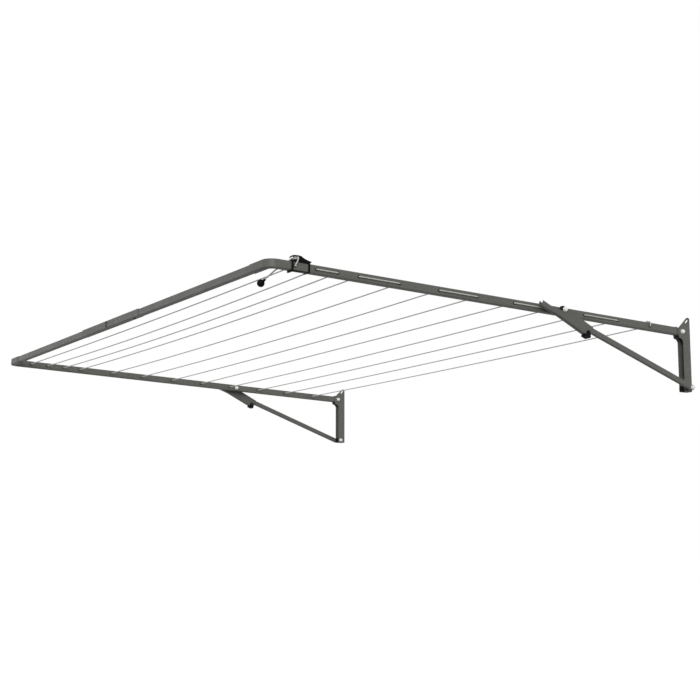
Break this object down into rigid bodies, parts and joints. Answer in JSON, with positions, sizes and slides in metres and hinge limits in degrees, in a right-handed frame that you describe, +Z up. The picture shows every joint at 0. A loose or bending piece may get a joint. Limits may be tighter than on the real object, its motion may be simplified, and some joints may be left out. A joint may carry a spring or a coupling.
{
  "type": "wall mounted fold-down clothesline",
  "caption": "Rectangular tube frame strung with one long line, hinged on two wall brackets and held up by sliding latched struts; folds down flat to the wall.",
  "frame": {"origin": "on the wall face, midway between the two brackets, at the height of the fold pivot", "axes": "+X along the wall, -Y out of the wall, +Z up"},
  "size_m": [2.285, 1.5954, 0.2835],
  "materials": {
    "grey_paint": "satin powder coat",
    "inner_tube": "satin powder coat",
    "black_plastic": "moulded, fine grain",
    "zinc": "bright zinc plate",
    "dark_steel": "black oxide",
    "spring_wire": "drawn wire",
    "line_cord": "ribbed plastic skin"
  },
  "bodies": {
    "wall_brackets": {"wall_bracket_left": "grey_paint", "wall_bracket_right": "grey_paint", "bracket_foot_left": "black_plastic", "bracket_foot_right": "black_plastic", "pivot_bolts": "zinc", "pivot_nuts": "zinc", "foot_bolts": "zinc"},
    "line_frame": {"arm_left": "grey_paint", "arm_right": "grey_paint", "arm_plug_left": "black_plastic", "arm_plug_right": "black_plastic", "pivot_bushes": "black_plastic", "front_bar_left": "grey_paint", "front_bar_right": "grey_paint", "joiner_left": "grey_paint", "joiner_right": "grey_paint", "bar_spigot": "inner_tube", "joiner_screws": "black_plastic", "corner_screws": "grey_paint", "grommets_left": "black_plastic", "grommets_right": "black_plastic", "clothes_line": "line_cord", "line_lead": "line_cord", "line_end": "line_cord", "line_tensioner": "black_plastic", "tensioner_keeper": "black_plastic", "cleat_wraps": "line_cord", "cord_tail": "line_cord", "cord_ball": "black_plastic", "brace_bolts": "zinc", "brace_nuts": "zinc", "brace_spacers": "black_plastic"},
    "brace_left": {"brace_channel_left": "grey_paint", "channel_bush_left": "black_plastic", "strut_guides_left": "black_plastic", "latch_pin_left": "dark_steel", "latch_spring_left": "spring_wire"},
    "sliding_strut_left": {"strut_left": "grey_paint", "strut_cap_left": "black_plastic", "strut_spacer_left": "black_plastic", "strut_bolt_left": "zinc"},
    "lever_left": {"latch_lever_left": "black_plastic"},
    "brace_right": {"brace_channel_right": "grey_paint", "channel_bush_right": "black_plastic", "strut_guides_right": "black_plastic", "latch_pin_right": "dark_steel", "latch_spring_right": "spring_wire"},
    "sliding_strut_right": {"strut_right": "grey_paint", "strut_cap_right": "black_plastic", "strut_spacer_right": "black_plastic", "strut_bolt_right": "zinc"},
    "lever_right": {"latch_lever_right": "black_plastic"}
  },
  "joints": [
    {"name": "frame_fold", "type": "hinge", "parent": "wall_brackets", "child": "line_frame", "pos_m": [0, -0.036, 0], "axis": [1, 0, 0], "range_deg": [0, 88]},
    {"name": "brace_swing_left", "type": "hinge", "parent": "line_frame", "child": "brace_left", "pos_m": [-1.1265, -0.56268, 0.01839], "axis": [1, 0, 0], "range_deg": [0, 15.49]},
    {"name": "strut_slide_left", "type": "slide", "parent": "brace_left", "child": "sliding_strut_left", "axis": [0, -0.9435, 0.3315], "range_m": [0, 0.2377]},
    {"name": "lever_release_left", "type": "hinge", "parent": "brace_left", "child": "lever_left", "pos_m": [-1.1265, -0.47037, -0.04711], "axis": [1, 0, 0], "range_deg": [0, 18], "stiffness_Nm_per_rad": 0.05, "springref_deg": -17.19},
    {"name": "brace_swing_right", "type": "hinge", "parent": "line_frame", "child": "brace_right", "pos_m": [1.1265, -0.56268, 0.01839], "axis": [1, 0, 0], "range_deg": [0, 15.49]},
    {"name": "strut_slide_right", "type": "slide", "parent": "brace_right", "child": "sliding_strut_right", "axis": [0, -0.9435, 0.3315], "range_m": [0, 0.2377]},
    {"name": "lever_release_right", "type": "hinge", "parent": "brace_right", "child": "lever_right", "pos_m": [1.1265, -0.47037, -0.04711], "axis": [1, 0, 0], "range_deg": [0, 18], "stiffness_Nm_per_rad": 0.05, "springref_deg": -17.19}
  ],
  "couplings": [
    {"joint": "brace_swing_left", "follows": "frame_fold", "ratio": 0.17513},
    {"joint": "strut_slide_left", "follows": "frame_fold", "m_per_rad": 0.15455},
    {"joint": "brace_swing_right", "follows": "frame_fold", "ratio": 0.17513},
    {"joint": "strut_slide_right", "follows": "frame_fold", "m_per_rad": 0.15455}
  ]
}
